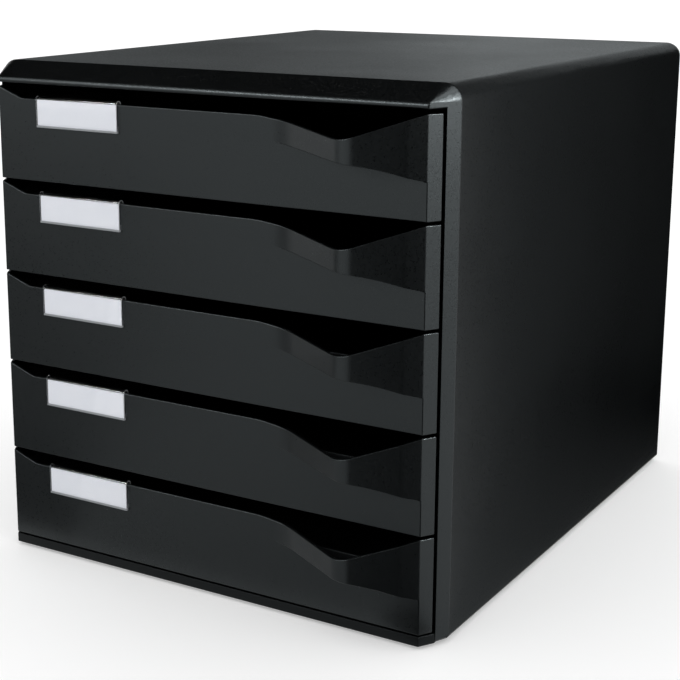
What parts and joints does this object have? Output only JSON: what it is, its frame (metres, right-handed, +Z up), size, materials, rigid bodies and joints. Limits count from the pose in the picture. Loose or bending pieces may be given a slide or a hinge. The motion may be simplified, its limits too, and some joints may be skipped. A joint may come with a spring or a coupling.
{
  "type": "desktop drawer unit",
  "caption": "Free-standing desktop unit for paper: a closed case with a stack of shallow drawers, each with a scoop grip and a label holder on its front.",
  "frame": {"origin": "centre of the bounding box, at the level the feet stand on", "axes": "+Z up; +Y from the drawer fronts to the back; +X to the right of someone facing the fronts"},
  "size_m": [0.291, 0.3695, 0.291],
  "materials": {
    "case_plastic": "satin black, fine grain",
    "front_plastic": "satin black, fine grain",
    "tray_plastic": "satin black, smooth",
    "runner_plastic": "black, smooth",
    "label_clear": "clear acrylic strip",
    "label_card": "white card",
    "foot_rubber": "matt black rubber",
    "screw_steel": "zinc plated"
  },
  "bodies": {
    "case": {"case_shell": "case_plastic", "base_panel": "case_plastic", "back_panel": "case_plastic", "left_runner": "runner_plastic", "right_runner": "runner_plastic", "base_screws": "screw_steel", "back_rivets": "runner_plastic", "foot_front_left": "foot_rubber", "foot_front_right": "foot_rubber", "foot_back_left": "foot_rubber", "foot_back_right": "foot_rubber"},
    "drawer_1": {"drawer_1_tray": "tray_plastic", "drawer_1_front": "front_plastic", "drawer_1_label_holder": "label_clear", "drawer_1_label_card": "label_card"},
    "drawer_2": {"drawer_2_tray": "tray_plastic", "drawer_2_front": "front_plastic", "drawer_2_label_holder": "label_clear", "drawer_2_label_card": "label_card"},
    "drawer_3": {"drawer_3_tray": "tray_plastic", "drawer_3_front": "front_plastic", "drawer_3_label_holder": "label_clear", "drawer_3_label_card": "label_card"},
    "drawer_4": {"drawer_4_tray": "tray_plastic", "drawer_4_front": "front_plastic", "drawer_4_label_holder": "label_clear", "drawer_4_label_card": "label_card"},
    "drawer_5": {"drawer_5_tray": "tray_plastic", "drawer_5_front": "front_plastic", "drawer_5_label_holder": "label_clear", "drawer_5_label_card": "label_card"}
  },
  "joints": [
    {"name": "drawer_1_slide", "type": "slide", "parent": "case", "child": "drawer_1", "axis": [0, -1, 0], "range_m": [0, 0.24]},
    {"name": "drawer_2_slide", "type": "slide", "parent": "case", "child": "drawer_2", "axis": [0, -1, 0], "range_m": [0, 0.24]},
    {"name": "drawer_3_slide", "type": "slide", "parent": "case", "child": "drawer_3", "axis": [0, -1, 0], "range_m": [0, 0.24]},
    {"name": "drawer_4_slide", "type": "slide", "parent": "case", "child": "drawer_4", "axis": [0, -1, 0], "range_m": [0, 0.24]},
    {"name": "drawer_5_slide", "type": "slide", "parent": "case", "child": "drawer_5", "axis": [0, -1, 0], "range_m": [0, 0.24]}
  ]
}
